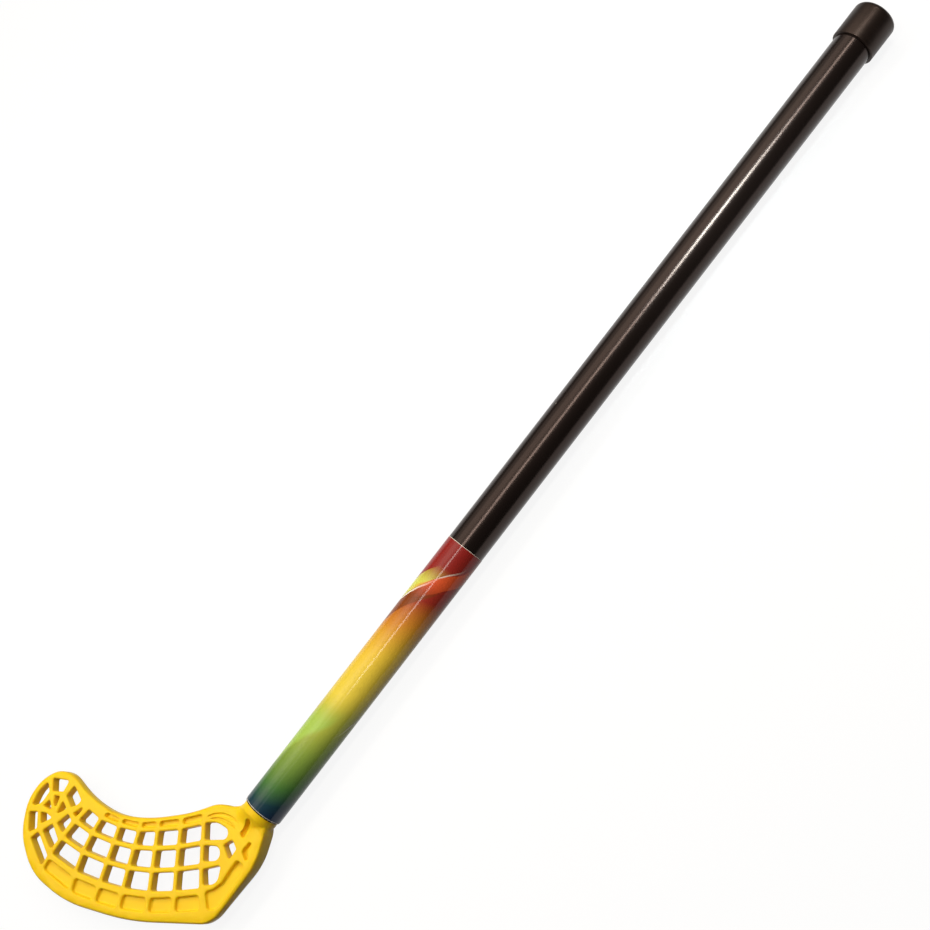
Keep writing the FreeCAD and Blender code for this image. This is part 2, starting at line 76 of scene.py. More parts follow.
def linear(hex_colour):
    """An sRGB hex colour as the linear RGBA that Blender's sockets take."""
    shares = [int(hex_colour[k:k + 2], 16) / 255 for k in (1, 3, 5)]
    return tuple(s / 12.92 if s <= 0.04045 else ((s + 0.055) / 1.055) ** 2.4 for s in shares) + (1.0,)


def add(tree, kind, inputs=None, ramp=None, **settings):
    """One shader node with its settings, its input values or links, and the stops of its ramp."""
    made = tree.nodes.new("ShaderNode" + kind)
    for name, value in settings.items():
        setattr(made, name, value)
    for socket, value in (inputs or {}).items():
        if isinstance(value, bpy.types.NodeSocket):
            tree.links.new(value, made.inputs[socket])
        else:
            made.inputs[socket].default_value = value
    for k, (place, colour) in enumerate(ramp or []):
        stops = made.color_ramp.elements
        stop = stops[k] if k < 2 else stops.new(place)
        stop.position = place
        stop.color = colour
    return made


def new_material(name):
    """An empty node material, its node tree and the output node that its shader goes to."""
    material = bpy.data.materials.new(name)
    material.use_nodes = True
    material.node_tree.nodes.clear()
    return material, material.node_tree, material.node_tree.nodes.new("ShaderNodeOutputMaterial")


def finish_mesh(name, bm, material, sharp_degrees):
    """A new object from a bmesh, facing out, and smooth but for edges sharper than the angle."""
    bmesh.ops.recalc_face_normals(bm, faces=bm.faces)
    mesh = bpy.data.meshes.new(name)
    bm.to_mesh(mesh)
    bm.free()
    mesh.shade_smooth()
    mesh.set_sharp_from_angle(angle=math.radians(sharp_degrees))
    mesh.materials.append(material)
    piece = bpy.data.objects.new(name, mesh)
    bpy.context.scene.collection.objects.link(piece)
    return piece


def turned(profile, sides, start, along, side, swell=None):
    """A bmesh turned about a line from (distance, radius) points, closed on itself or on the line.

    The swell, if any, gives what is added to a point's radius from its distance, radius and turn.
    """
    bm = bmesh.new()
    rings = []
    across = along.cross(side)
    for distance, radius in profile:
        ring = []
        for k in range(sides if radius > 0 else 1):
            turn = 2 * math.pi * k / sides
            reach = radius + (swell(distance, radius, turn) if swell else 0)
            outwards = side * math.cos(turn) + across * math.sin(turn)
            ring.append(bm.verts.new(start + along * distance + outwards * reach))
        rings.append(ring)
    closed = profile[0][1] > 0
    for one, two in zip(rings, rings[1:] + rings[:1] if closed else rings[1:]):
        for k in range(sides):
            corners = [one[k % len(one)], one[(k + 1) % sides % len(one)],
                       two[(k + 1) % sides % len(two)], two[k % len(two)]]
            bm.faces.new(list(dict.fromkeys(corners)))
    return bm


def cut_away(piece, bm):
    """Cuts the solid of a bmesh out of a piece."""
    mesh = bpy.data.meshes.new("cutter")
    bm.to_mesh(mesh)
    bm.free()
    cutter = bpy.data.objects.new("cutter", mesh)
    bpy.context.scene.collection.objects.link(cutter)
    cut = piece.modifiers.new("cut", "BOOLEAN")
    cut.object = cutter
    cut.solver = "EXACT"
    bpy.context.view_layer.update()
    result = bpy.data.meshes.new_from_object(piece.evaluated_get(bpy.context.evaluated_depsgraph_get()))
    result.name = piece.name
    piece.modifiers.clear()
    piece.data = result
    bpy.data.objects.remove(cutter)


def drill_bit(radius_deep, radius_out, deep, out):
    """A round or tapered bit on the screw's axis, between two heights at the rear of the shaft."""
    bm = bmesh.new()
    bmesh.ops.create_cone(bm, cap_ends=True, segments=BIT_SIDES, radius1=radius_out, radius2=radius_deep,
                          depth=deep - out)
    bmesh.ops.translate(bm, verts=bm.verts, vec=(screw_x, axis.y, (deep + out) / 2))
    return bm


# Extruded black polypropylene: near black with a brown cast and a soft gloss. Die lines along it give the
# long reflections a very faint grain, and a few specks of dust lie on it.
DIE_LINE = 1.6 * MM
DIE_LINE_RUN = 900 * MM
DIE_LINE_DEPTH = 0.05 * MM
CLOUDS_PER_METRE = (6, 60, 60)
SPECK_SPACING = 38 * MM
SPECK_RADIUS_SHARE = 0.012
NOISE_LOW, NOISE_HIGH = 0.3, 0.7

tube_plastic, tree, out = new_material("extruded_black_polypropylene")
place = add(tree, "TexCoord").outputs["Object"]
drawn_out = add(tree, "Mapping", {"Vector": place,
                                  "Scale": (1 / DIE_LINE_RUN, 1 / DIE_LINE, 1 / DIE_LINE)})
die_lines = add(tree, "TexNoise", {"Vector": drawn_out.outputs["Vector"], "Scale": 1.0, "Detail": 1.0})
flow = add(tree, "Mapping", {"Vector": place, "Scale": CLOUDS_PER_METRE})
cloud = add(tree, "TexNoise", {"Vector": flow.outputs["Vector"], "Scale": 1.0, "Detail": 2.0})
black = add(tree, "ValToRGB", {"Fac": cloud.outputs["Fac"]},
            ramp=[(NOISE_LOW, linear("#130E0C")), (NOISE_HIGH, linear("#191311"))])
specks = add(tree, "TexVoronoi", {"Vector": place, "Scale": 1 / SPECK_SPACING, "Randomness": 1.0})
is_speck = add(tree, "Math", {0: specks.outputs["Distance"], 1: SPECK_RADIUS_SHARE}, operation="LESS_THAN")
dusty = add(tree, "Mix", {0: is_speck.outputs[0], 6: black.outputs["Color"], 7: linear("#8F8780")},
            data_type="RGBA")
gloss = add(tree, "MapRange", {"Value": die_lines.outputs["Fac"], "From Min": NOISE_LOW,
                               "From Max": NOISE_HIGH, "To Min": 0.20, "To Max": 0.23})
ridges = add(tree, "Bump", {"Height": die_lines.outputs["Fac"], "Strength": 0.004,
                            "Distance": DIE_LINE_DEPTH})
shader = add(tree, "BsdfPrincipled", {"Base Color": dusty.outputs[2], "Roughness": gloss.outputs[0],
                                      "Normal": ridges.outputs[0], "IOR": 1.49, "Specular IOR Level": 0.43,
                                      "Specular Tint": linear("#FFDED2")})
tree.links.new(shader.outputs[0], out.inputs["Surface"])

bm = turned([(tube_low.x, tube_radius - SAWN_EDGE), (tube_low.x + SAWN_EDGE, tube_radius),
             (tube_high.x - SAWN_EDGE, tube_radius), (tube_high.x, tube_radius - SAWN_EDGE),
             (tube_high.x, bore_radius), (tube_low.x, bore_radius)], SHAFT_SIDES, shaft_line, X, Z)
shaft_tube = finish_mesh("black_pipe", bm, tube_plastic, SHARP_DEGREES)
cut_away(shaft_tube, drill_bit(BIT_RADIUS_DEEP, BIT_RADIUS_OUT, axis.z - bore_radius + BIT_PAST_BORE,
                               axis.z - tube_radius - BIT_PAST_SURFACE))
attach(shaft_tube, "root")
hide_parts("shaft_tube")

# Printed film
# A thin glossy film, printed on its inner side and glued round the lower third of the pipe. It has a
# punched hole for the screw and overlaps itself at the rear. Its cut ends show the white of the film.
FILM_EDGE = 0.03 * MM
FILM_SHEET = 0.1 * MM
FILM_GLUE = 0.02 * MM
OVERLAP = math.radians(24)
OVERLAP_AT = math.radians(140)
PUNCH_RADIUS = 3.7 * MM
PUNCH_DEPTH = 1.2 * MM

film_low, film_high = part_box("decal_wrap")
film_radius = (film_high.z - film_low.z) / 2
film_inside = tube_radius + FILM_GLUE
film_length = film_high.x - film_low.x

# Gloss polyester film over printing ink: saturated inks that run into each other from dark blue at the
# bottom to red at the top, waves of colour that wind round the pipe, and a clear glossy top.
RIPPLE = 45 * MM
DIMPLE = 9 * MM
DIMPLE_DEPTH = 0.05 * MM
CUT_END = 0.45 * MM
NOISE_MIDDLE = 0.5
HALF_WAY = 0.5

# how far sway and ripple shift the inks, as shares of the film's length, and the waves, of a turn
SWAY_START = 0.9
SWAY_SHIFT = 0.035
RIPPLE_SHIFT = 0.10
WAVE_SHIFT = 0.22

# inks and where they lie along the film
INKS = [(0.00, "#162845"), (0.05, "#1A3A43"), (0.12, "#457134"), (0.24, "#839C3E"), (0.36, "#B0B543"),
        (0.47, "#E0C844"), (0.60, "#E1BC3A"), (0.70, "#C78128"), (0.80, "#932C1F"), (1.00, "#86201B")]

# waves and pinstripes that wind round the pipe: turns over the film's length, start, half width and
# softness as shares of a turn, ink, and the stretch of the film that shows them
WAVES = [(1.2, 0.55, 0.080, 0.050, "#A3C455", 0.06, 0.40), (1.6, 0.72, 0.075, 0.012, "#7A3D14", 0.52, 0.88),
         (1.6, 0.58, 0.060, 0.012, "#D5DC5A", 0.46, 0.92), (1.6, 0.66, 0.006, 0.006, "#F4EEDC", 0.30, 0.96),
         (2.3, 0.12, 0.070, 0.020, "#D4552A", 0.78, 1.02)]
WAVE_FADE = 0.10
WAVE_COVER = 0.9

film_print, tree, out = new_material("printed_gloss_polyester_film")
place = add(tree, "TexCoord").outputs["Object"]
parts = add(tree, "SeparateXYZ", {0: place}).outputs
along = add(tree, "MapRange", {"Value": parts["X"], "From Min": film_low.x,
                               "From Max": film_high.x}).outputs[0]
across = add(tree, "Math", {0: parts["Y"], 1: axis.y}, operation="SUBTRACT").outputs[0]
rise = add(tree, "Math", {0: parts["Z"], 1: axis.z}, operation="SUBTRACT").outputs[0]
turn = add(tree, "Math", {0: across, 1: rise}, operation="ARCTAN2").outputs[0]

sway = add(tree, "Math", {0: turn, 1: SWAY_START}, operation="ADD").outputs[0]
sway = add(tree, "Math", {0: sway}, operation="SINE").outputs[0]
ripple = add(tree, "TexNoise", {"Vector": place, "Scale": 1 / RIPPLE, "Detail": 1.5}).outputs["Fac"]
ripple = add(tree, "Math", {0: ripple, 1: -NOISE_MIDDLE}, operation="ADD").outputs[0]
shifted = add(tree, "Math", {0: sway, 1: SWAY_SHIFT, 2: along}, operation="MULTIPLY_ADD").outputs[0]
shifted = add(tree, "Math", {0: ripple, 1: RIPPLE_SHIFT, 2: shifted}, operation="MULTIPLY_ADD").outputs[0]
inks = add(tree, "ValToRGB", {"Fac": shifted}, ramp=[(share, linear(ink)) for share, ink in INKS])

colour = inks.outputs["Color"]
for turns, start, width, soft, ink, first, last in WAVES:
    wound = add(tree, "Math", {0: along, 1: turns, 2: start}, operation="MULTIPLY_ADD").outputs[0]
    wound = add(tree, "Math", {0: turn, 1: 1 / math.tau, 2: wound}, operation="MULTIPLY_ADD").outputs[0]
    wound = add(tree, "Math", {0: ripple, 1: WAVE_SHIFT, 2: wound}, operation="MULTIPLY_ADD").outputs[0]
    off_middle = add(tree, "Math", {0: wound, 1: HALF_WAY}, operation="PINGPONG").outputs[0]
    shown = add(tree, "MapRange", {"Value": off_middle, "From Min": width + soft, "From Max": width,
                                   "To Max": WAVE_COVER}, interpolation_type="SMOOTHSTEP").outputs[0]
    for gone, full in ((first, first + WAVE_FADE), (last, last - WAVE_FADE)):
        fade = add(tree, "MapRange", {"Value": along, "From Min": gone, "From Max": full},
                   interpolation_type="SMOOTHSTEP").outputs[0]
        shown = add(tree, "Math", {0: shown, 1: fade}, operation="MULTIPLY").outputs[0]
    colour = add(tree, "Mix", {0: shown, 6: colour, 7: linear(ink)}, data_type="RGBA").outputs[2]

# the film's white core shows at its two cut ends
to_end = add(tree, "Math", {0: along, 1: HALF_WAY}, operation="PINGPONG").outputs[0]
cut_end = add(tree, "Math", {0: to_end, 1: CUT_END / film_length}, operation="LESS_THAN").outputs[0]
colour = add(tree, "Mix", {0: cut_end, 6: colour, 7: linear("#C9C2B4")}, data_type="RGBA").outputs[2]
lie = add(tree, "TexNoise", {"Vector": place, "Scale": 1 / DIMPLE, "Detail": 1.0})
dimple = add(tree, "Bump", {"Height": lie.outputs["Fac"], "Strength": 0.02, "Distance": DIMPLE_DEPTH})
shader = add(tree, "BsdfPrincipled", {"Base Color": colour, "Roughness": 0.4, "IOR": 1.5,
                                      "Specular IOR Level": 0.1, "Coat Weight": 0.42,
                                      "Coat Roughness": 0.10, "Coat IOR": 1.5,
                                      "Normal": dimple.outputs[0], "Coat Normal": dimple.outputs[0]})
tree.links.new(shader.outputs[0], out.inputs["Surface"])


def single_sheet(distance, radius, turn):
    """Takes one sheet off the outside, but for the strip where the film overlaps itself."""
    outside = radius > film_radius - 2 * FILM_EDGE
    return -FILM_SHEET if outside and abs(turn - OVERLAP_AT) > OVERLAP / 2 else 0


bm = turned([(film_low.x, film_radius - FILM_EDGE), (film_low.x + FILM_EDGE, film_radius),
             (film_high.x - FILM_EDGE, film_radius), (film_high.x, film_radius - FILM_EDGE),
             (film_high.x, film_inside), (film_low.x, film_inside)],
            SHAFT_SIDES, shaft_line, X, Z, single_sheet)
decal_film = finish_mesh("printed_film", bm, film_print, SHARP_DEGREES)
cut_away(decal_film, drill_bit(PUNCH_RADIUS, PUNCH_RADIUS, axis.z - tube_radius + PUNCH_DEPTH,
                               axis.z - film_radius - BIT_PAST_SURFACE))
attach(decal_film, "root")
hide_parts("decal_wrap")

# Blade
# One yellow moulding: a flat lattice with a thick heel, a neck that narrows to a round collar, and a
# spigot pushed into the pipe. The mould rounded every rib, rim and pocket, so no edge is sharp.
POCKET_CORNER = 2.4 * MM
EDGE_ROUND = 1.4 * MM
FLOOR_ROUND = 1.0 * MM
SHARE_OF_WIDTH = 0.42
EDGE_SHARE_OF_HEIGHT = 0.4
FLOOR_SHARE_OF_HEIGHT = 0.55
ARC_STEPS = 4
BLADE_SHARP_DEGREES = 50

# what tells the solid's faces and edges apart: bends in degrees, parts of unit vectors, an area and a
# distance
CORNER_BENDS = (55, 130)
FOLD_BEND = 0.3
FLAT_BEND = 0.5
UPRIGHT = 0.98
SLOPE_NORMALS = (0.98, 0.998)
SLOPE_SLACK = 0.001
SIDEWAYS_SLACK = 0.02
STEEP = 0.3
SMALL_REGION = 12 * MM ** 2
SAME_SPOT = 0.001 * MM

bm = bmesh.new()
bm.from_mesh(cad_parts["blade"].data)
bmesh.ops.remove_doubles(bm, verts=bm.verts, dist=SAME_SPOT)


def bend(edge):
    """The angle in degrees between the two faces of an edge."""
    return math.degrees(edge.calc_face_angle(0)) if edge.is_manifold else 0


def is_corner(edge):
    """Whether an edge is a square upright corner of a pocket, outside the pipe."""
    run = (edge.verts[0].co - edge.verts[1].co).normalized()
    square = CORNER_BENDS[0] < bend(edge) < CORNER_BENDS[1]
    return abs(run.z) > UPRIGHT and square and max(v.co.x for v in edge.verts) < tube_low.x


def wall_width(edge):
    """Width of the narrower of the two walls that meet at an upright corner."""
    foot, head = (v.co for v in edge.verts)
    up = (head - foot).normalized()
    return min(max((v.co - foot - up * up.dot(v.co - foot)).length for v in wall.verts)
               for wall in edge.link_faces)


# the faces that lie: both sides of the lattice, level or sloping up to the heel, and the pocket floors
tilted = max((f for f in bm.faces if SLOPE_NORMALS[0] < f.normal.z < SLOPE_NORMALS[1]
              and f.calc_center_median().x < tube_low.x), key=lambda f: f.calc_area())
slope_way = Vector((tilted.normal.x, tilted.normal.y, 0)).normalized()


def lies(face):
    """Whether a face is level or has the slope of the heel."""
    lean = Vector((face.normal.x, face.normal.y, 0))
    sideways = lean - slope_way * lean.dot(slope_way)
    return abs(face.normal.z) > tilted.normal.z - SLOPE_SLACK and sideways.length < SIDEWAYS_SLACK


class Region:
    """Lying faces that hang together: the way they face, their surface and their folds."""

    def __init__(self, faces):
        self.facing = math.copysign(1, faces[0].normal.z)
        self.surface = BVHTree.FromPolygons([v.co.copy() for f in faces for v in f.verts],
                                            [[3 * k, 3 * k + 1, 3 * k + 2] for k in range(len(faces))])
        self.folds = [[v.co.copy() for v in e.verts] for e in dict.fromkeys(e for f in faces for e in f.edges)
                      if bend(e) > FOLD_BEND and all(f in faces for f in e.link_faces)]

    def height(self, x, y, z):
        """The surface's height over a point, on the plane of the face that is nearest to it."""
        spot, normal = self.surface.find_nearest((x, y, z))[:2]
        return spot.z - (normal.x * (x - spot.x) + normal.y * (y - spot.y)) / normal.z


lying = {f for f in bm.faces if lies(f)}
regions = []
left = set(lying)
for face in bm.faces:
    if face in left:
        left.remove(face)
        found = [face]
        for one in found:
            near = dict.fromkeys(f for e in one.edges for f in e.link_faces if f in left)
            left.difference_update(near)
            found += near
        regions.append(found)
small = [found for found in regions if sum(f.calc_area() for f in found) < SMALL_REGION]
lying -= {f for found in small for f in found}
regions = [Region(found) for found in regions if found not in small]

# the walls alone, with their corners rounded, those of like size together
CORNER_STEP = 0.2 * MM
bmesh.ops.delete(bm, geom=list(lying), context="FACES")
bmesh.ops.dissolve_limit(bm, angle_limit=math.radians(FLAT_BEND), use_dissolve_boundaries=False, verts=[],
                         edges=bm.edges, delimit={"NORMAL"})
corners = [(round(min(POCKET_CORNER, SHARE_OF_WIDTH * wall_width(e)) / CORNER_STEP), e)
           for e in bm.edges if is_corner(e)]
for steps in sorted({s for s, e in corners}):
    bmesh.ops.bevel(bm, geom=[e for s, e in corners if s == steps], offset=steps * CORNER_STEP,
                    offset_type="OFFSET", segments=ARC_STEPS, profile=0.5, affect="EDGES",
                    clamp_overlap=False)

# every rim: the region that it bounds, the way into that region, the way down the wall, and the room that
# its wall has for a rounding
rims = [e for e in bm.edges if e.is_boundary]
region_of, inwards_of, beside, room, drop = {}, {}, {}, {}, {}
for rim in rims:
    wall = rim.link_faces[0]
    middle = (rim.verts[0].co + rim.verts[1].co) / 2
    region = min(regions, key=lambda r: r.surface.find_nearest(middle)[3])
    fall = math.copysign(1, wall.calc_center_median().z - middle.z)
    flat = Vector((wall.normal.x, wall.normal.y, 0)).normalized()
    region_of[rim] = region
    inwards_of[rim] = flat * fall * region.facing
    heights = [w.co.z for w in wall.verts]
    tall = max(heights) - min(heights)
    if fall * region.facing < 0:
        size = min(EDGE_ROUND, EDGE_SHARE_OF_HEIGHT * tall)
    else:
        size = min(FLOOR_ROUND, FLOOR_SHARE_OF_HEIGHT * tall)
    for v in rim.verts:
        beside.setdefault(v, []).append(rim)
        room[v] = min(size, room.get(v, size)) if abs(wall.normal.z) < STEEP else 0
        drop[v] = fall

# no room where other than two rims meet
for v, around in beside.items():
    if len(around) != 2:
        room[v] = 0

# less room where two rims face each other and are close, and no sudden change along a rim
SPOT_SPACING_SHARE = 0.3
ACROSS_SHARE = 0.6
OPPOSITE = -0.5
CHANGE_SHARE = 0.6
SMOOTHING_PASSES = 8
reach = FLOOR_ROUND / SHARE_OF_WIDTH
spots = []
for rim in rims:
    one, two = (v.co for v in rim.verts)
    count = max(1, round((two - one).length / (SPOT_SPACING_SHARE * reach)))
    spots += [(one.lerp(two, (k + 0.5) / count), rim) for k in range(count)]
all_spots = KDTree(len(spots))
for k, (spot, rim) in enumerate(spots):
    all_spots.insert(spot, k)
all_spots.balance()
for spot, rim in spots:
    for other, k, distance in all_spots.find_range(spot, reach):
        across = (other - spot).dot(inwards_of[rim])
        likeness = inwards_of[rim].dot(inwards_of[spots[k][1]])
        if across > ACROSS_SHARE * distance and likeness < OPPOSITE:
            for v in rim.verts:
                room[v] = min(room[v], SHARE_OF_WIDTH * across)
for repeat in range(SMOOTHING_PASSES):
    for rim in rims:
        one, two = rim.verts
        change = CHANGE_SHARE * rim.calc_length()
        room[one] = min(room[one], room[two] + change)
        room[two] = min(room[two], room[one] + change)

# a quarter circle of vertices at each vertex of a rim, from the wall to the lying face
MITRE_LIMIT = 0.6
LEAST_ROUND = 0.02 * MM
angles = [math.pi / 2 * k / ARC_STEPS for k in range(ARC_STEPS + 1)]
arcs = {}
for v, around in beside.items():
    one, two = (inwards_of[rim] for rim in around[:2])
    inwards = (one + two) / max(1 + one.dot(two), MITRE_LIMIT) * room[v]
    end = v.co + inwards
    end.z = region_of[around[0]].height(*end)
    inwards = end - v.co
    down = Z * drop[v] * room[v]
    points = [v.co + inwards * (1 - math.cos(angle)) + down * (1 - math.sin(angle)) for angle in angles]
    arcs[v] = points if room[v] > LEAST_ROUND else None
for v, points in arcs.items():
    if points:
        v.co = points[0]
        arcs[v] = [v] + [bm.verts.new(point) for point in points[1:]]
    else:
        arcs[v] = [v] * len(angles)
for rim in rims:
    one, two = (arcs[v] for v in rim.verts)
    for corner in zip(one, one[1:], two[1:], two):
        corner = list(dict.fromkeys(corner))
        if len(corner) > 2:
            bm.faces.new(corner)

# the lying faces again, up to the roundings: each region's rims and folds are joined up by triangles, and
# those inside the rims are kept
FOLD_SPACING = 2.0 * MM
FOLD_CLEARANCE = 1.2 * MM
MERGE_DISTANCE = 1e-7
for region in regions:
    own = [rim for rim in rims if region_of[rim] is region]
    ring = {v: k for k, v in enumerate(dict.fromkeys(arcs[v][-1] for rim in own for v in rim.verts))}
    points = [v.co.to_2d() for v in ring]
    fence = KDTree(len(points))
    for k, point in enumerate(points):
        fence.insert(point.to_3d(), k)
    fence.balance()
    for one, two in region.folds:
        count = max(1, round((two - one).length / FOLD_SPACING))
        for k in range(count + 1):
            spot = one.lerp(two, k / count).to_2d()
            if fence.find(spot.to_3d())[2] > FOLD_CLEARANCE:
                points.append(spot)
    lines = [[ring[arcs[v][-1]] for v in rim.verts] for rim in own]
    flat, edges, faces, origins, sources = delaunay_2d_cdt(points, lines, [], 0, MERGE_DISTANCE)[:5]
    known = list(ring)
    level = known[0].co.z
    verts = []
    for spot, origin in zip(flat, origins):
        old = [known[k] for k in origin if k < len(known)]
        verts.append(old[0] if old else bm.verts.new((*spot, region.height(*spot, level))))
    fences = {frozenset(e) for e, source in zip(edges, sources) if source}
    sides = {}
    for face in faces:
        for pair in zip(face, face[1:] + face[:1]):
            sides.setdefault(frozenset(pair), []).append(tuple(face))
    reached = [(found[0], pair in fences) for pair, found in sides.items() if len(found) == 1]
    inside = {}
    for face, kept in reached:
        if face not in inside:
            inside[face] = kept
            for pair in map(frozenset, zip(face, face[1:] + face[:1])):
                reached += [(other, kept != (pair in fences)) for other in sides[pair]]
    for face, kept in inside.items():
        if kept:
            bm.faces.new([verts[k] for k in face])

# Moulded yellow polyethylene: a warm yellow with a soft waxy sheen. Light scatters a little way into it,
# which softens the shading. The melt leaves slow shifts in tone, and the mould a very fine grain.
MELT_PATCH = 34 * MM
MOULD_GRAIN = 1.1 * MM
GRAIN_DEPTH = 0.06 * MM
SCATTER = 3.0 * MM

blade_plastic, tree, out = new_material("moulded_yellow_polyethylene")
place = add(tree, "TexCoord").outputs["Object"]
melt = add(tree, "TexNoise", {"Vector": place, "Scale": 1 / MELT_PATCH, "Detail": 2.0})
yellow = add(tree, "ValToRGB", {"Fac": melt.outputs["Fac"]},
             ramp=[(NOISE_LOW, linear("#F0C717")), (NOISE_HIGH, linear("#F5CD1D"))])
grain = add(tree, "TexNoise", {"Vector": place, "Scale": 1 / MOULD_GRAIN, "Detail": 2.0})
skin = add(tree, "Bump", {"Height": grain.outputs["Fac"], "Strength": 0.08, "Distance": GRAIN_DEPTH})
sheen = add(tree, "MapRange", {"Value": melt.outputs["Fac"], "From Min": NOISE_LOW, "From Max": NOISE_HIGH,
                               "To Min": 0.36, "To Max": 0.46})
shader = add(tree, "BsdfPrincipled", {"Base Color": yellow.outputs["Color"], "Roughness": sheen.outputs[0],
                                      "Normal": skin.outputs[0], "IOR": 1.51, "Specular IOR Level": 0.15,
                                      "Subsurface Weight": 0.3, "Subsurface Radius": (1.0, 0.55, 0.1),
                                      "Subsurface Scale": SCATTER})
tree.links.new(shader.outputs[0], out.inputs["Surface"])

lattice_blade = finish_mesh("lattice_blade", bm, blade_plastic, BLADE_SHARP_DEGREES)
flat_faces = lattice_blade.modifiers.new("flat_faces", "WEIGHTED_NORMAL")
flat_faces.keep_sharp = True
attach(lattice_blade, "root")
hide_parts("blade")

# Blade screw
# One countersunk self-tapping screw of zinc-plated steel, driven from the rear through the pipe and the
# film into the blade's spigot. It is cold-headed with a cross recess, and its thread is rolled.
SCREW_EDGE = 0.3 * MM
SHANK_RADIUS = 1.75 * MM
THREAD_DEPTH = 0.45 * MM
THREAD_PITCH = 1.4 * MM
RIDGE_SHARE = 0.6
TIP_LENGTH = 2.5 * MM
TIP_SHARE = 0.17
RECESS_SPAN = 3.8 * MM
RECESS_WIDTH = 0.95 * MM
RECESS_DEPTH = 1.5 * MM
RECESS_TAPER = 0.45
SCREW_SIDES = 48
THREAD_ROWS = 80
SCREW_SHARP_DEGREES = 35

head_radius = (screw_high.x - screw_low.x) / 2
screw_length = screw_high.z - screw_low.z
neck = SCREW_EDGE + head_radius - SHANK_RADIUS

# Zinc-plated steel: a bright, slightly milky metal with a fine uneven plating.
PLATING_PATCH = 0.8 * MM

zinc_steel, tree, out = new_material("zinc_plated_steel")
place = add(tree, "TexCoord").outputs["Object"]
dull = add(tree, "TexNoise", {"Vector": place, "Scale": 1 / PLATING_PATCH, "Detail": 3.0})
tone = add(tree, "ValToRGB", {"Fac": dull.outputs["Fac"]},
           ramp=[(NOISE_LOW, linear("#A9A9A6")), (NOISE_HIGH, linear("#C9CACB"))])
rough = add(tree, "MapRange", {"Value": dull.outputs["Fac"], "To Min": 0.22, "To Max": 0.42})
shader = add(tree, "BsdfPrincipled", {"Base Color": tone.outputs["Color"], "Metallic": 1.0,
                                      "Roughness": rough.outputs[0]})
tree.links.new(shader.outputs[0], out.inputs["Surface"])


def rolled_thread(distance, radius, turn):
    """Sinks the shank to the root of the thread, but for one ridge per pitch that climbs with the turn."""
    if distance < neck or radius < THREAD_DEPTH / 2:
        return 0
    climb = (distance / THREAD_PITCH - turn / math.tau) % 1
    ridge = max(0, 1 - abs(2 * climb - 1) / RIDGE_SHARE)
    return (ridge - 1) * THREAD_DEPTH * radius / SHANK_RADIUS


profile = [(0, 0), (0, head_radius - SCREW_EDGE / 2), (SCREW_EDGE / 4, head_radius),
           (SCREW_EDGE, head_radius)]
for k in range(THREAD_ROWS + 1):
    distance = neck + (screw_length - neck) * k / THREAD_ROWS
    taper = min(1, (screw_length - distance) / TIP_LENGTH + TIP_SHARE)
    profile.append((distance, SHANK_RADIUS * taper))
profile.append((screw_length, 0))
bm = turned(profile, SCREW_SIDES, Vector((screw_x, axis.y, screw_low.z)), Z, X, rolled_thread)
blade_screw = finish_mesh("cross_head_screw", bm, zinc_steel, SCREW_SHARP_DEGREES)
for span, width in ((RECESS_SPAN, RECESS_WIDTH), (RECESS_WIDTH, RECESS_SPAN)):
    bm = bmesh.new()
    bmesh.ops.create_cube(bm, size=2)
    for v in bm.verts:
        narrow = 1.0 if v.co.z < 0 else RECESS_TAPER
        v.co = (screw_x + v.co.x * span / 2 * narrow, axis.y + v.co.y * width / 2 * narrow,
                screw_low.z + v.co.z * RECESS_DEPTH)
    cut_away(blade_screw, bm)
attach(blade_screw, "root")
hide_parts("blade_screw")

# End cap
# A closed black plastic cap with a 2 mm wall, pushed over the upper end of the pipe. It is moulded,
# with a rounded end and a broken rim.
CAP_ROUND = 4.0 * MM
CAP_RIM = 0.6 * MM
CAP_END_WALL = 3.0 * MM
CAP_GAP = 0.1 * MM
ROUND_STEPS = 10
RIM_STEPS = 4

cap_low, cap_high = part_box("end_cap")
cap_radius = (cap_high.z - cap_low.z) / 2
cap_inside = tube_radius + CAP_GAP


def quarter(x, radius, size, first_degrees, steps):
    """Points of a quarter circle about (x, radius), in the plane of the profile."""
    turns = [math.radians(first_degrees - 90 * k / steps) for k in range(steps + 1)]
    return [(x + size * math.cos(turn), radius + size * math.sin(turn)) for turn in turns]


# Moulded black polyethylene: softer and more matt than the pipe, with fine scuffs that run round it.
SCUFF_WIDTH = 0.9 * MM
SCUFF_RUNS_PER_METRE = 60
SCUFF_DEPTH = 0.05 * MM

cap_plastic, tree, out = new_material("moulded_black_polyethylene")
place = add(tree, "TexCoord").outputs["Object"]
rubbed = add(tree, "Mapping", {"Vector": place, "Scale": (1 / SCUFF_WIDTH, SCUFF_RUNS_PER_METRE,
                                                          SCUFF_RUNS_PER_METRE)})
scuffs = add(tree, "TexNoise", {"Vector": rubbed.outputs["Vector"], "Scale": 1.0, "Detail": 3.0})
black = add(tree, "ValToRGB", {"Fac": scuffs.outputs["Fac"]},
            ramp=[(NOISE_LOW, linear("#130E0C")), (NOISE_HIGH, linear("#1A1310"))])
matt = add(tree, "MapRange", {"Value": scuffs.outputs["Fac"], "From Min": NOISE_LOW,
                              "From Max": NOISE_HIGH, "To Min": 0.34, "To Max": 0.42})
skin = add(tree, "Bump", {"Height": scuffs.outputs["Fac"], "Strength": 0.05, "Distance": SCUFF_DEPTH})
shader = add(tree, "BsdfPrincipled", {"Base Color": black.outputs["Color"], "Roughness": matt.outputs[0],
                                      "Normal": skin.outputs[0], "IOR": 1.51, "Specular IOR Level": 0.36,
                                      "Specular Tint": linear("#FFDCCB")})
tree.links.new(shader.outputs[0], out.inputs["Surface"])

